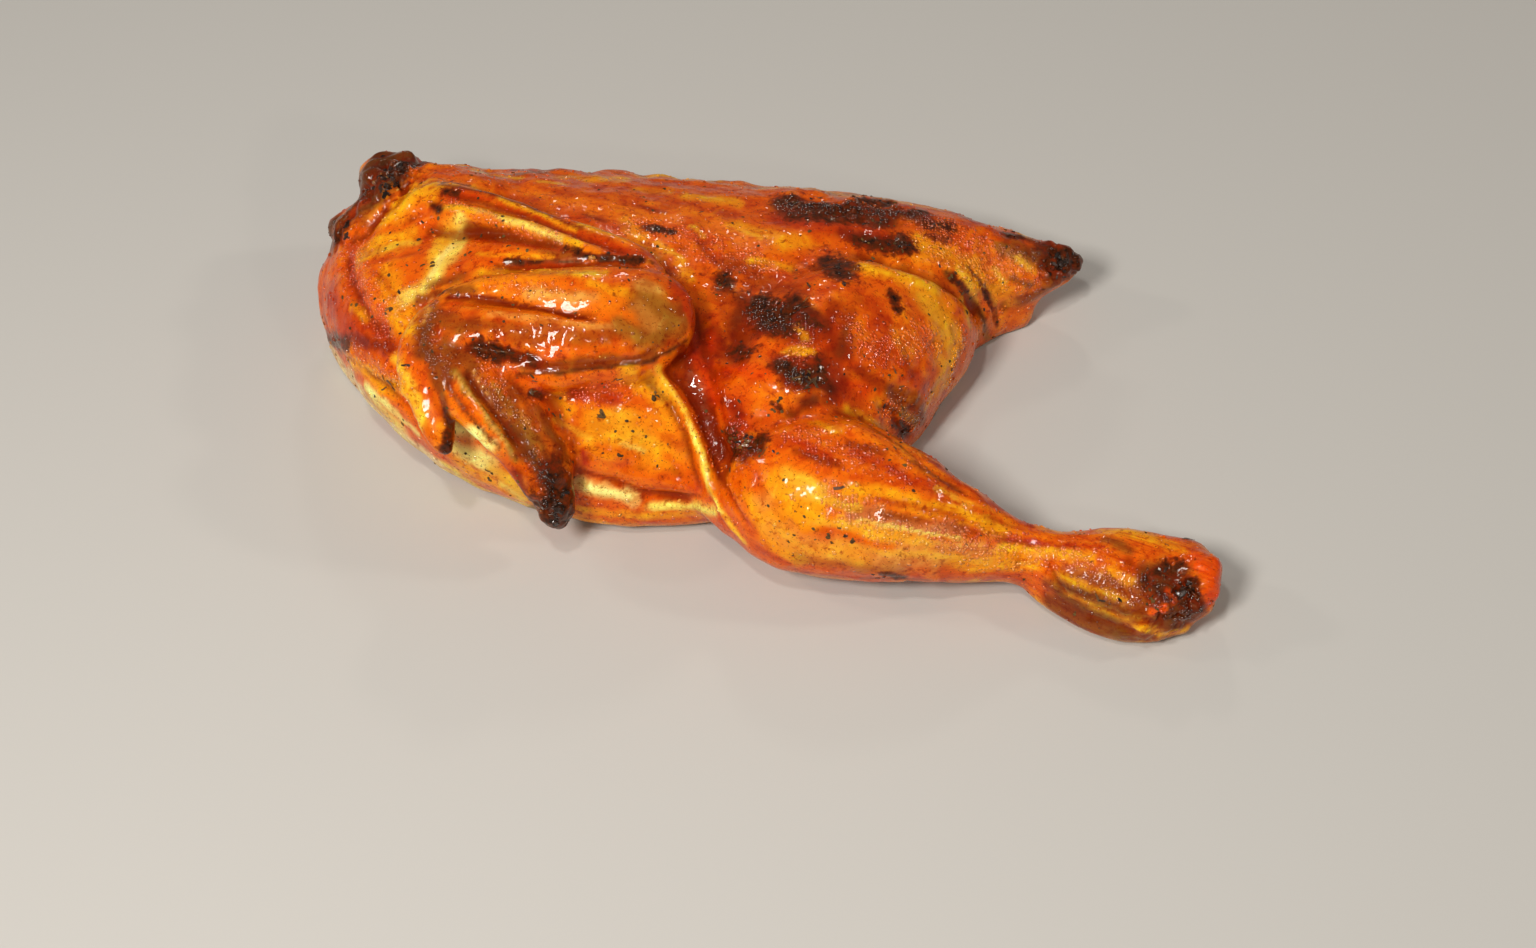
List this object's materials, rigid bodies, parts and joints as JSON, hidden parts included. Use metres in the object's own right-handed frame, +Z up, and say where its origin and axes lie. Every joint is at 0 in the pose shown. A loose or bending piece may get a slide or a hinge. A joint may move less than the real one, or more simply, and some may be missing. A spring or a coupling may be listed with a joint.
{
  "type": "grilled half chicken",
  "caption": "Grilled half chicken lying skin side up on its cut side: folded wing, breast, thigh, stretched drumstick and tail in one piece, with charred spots.",
  "frame": {"origin": "middle of the footprint, on the surface that the cut side rests on", "axes": "+X from the neck towards the tail and the leg, +Y from the keel side towards the backbone, +Z up through the skin side"},
  "size_m": [0.2348, 0.1632, 0.0601],
  "materials": {
    "grilled_skin": "browned skin under a wet glaze, golden to red-brown with black char, semi-gloss"
  },
  "bodies": {
    "root": {"half_chicken": "grilled_skin"}
  },
  "joints": []
}
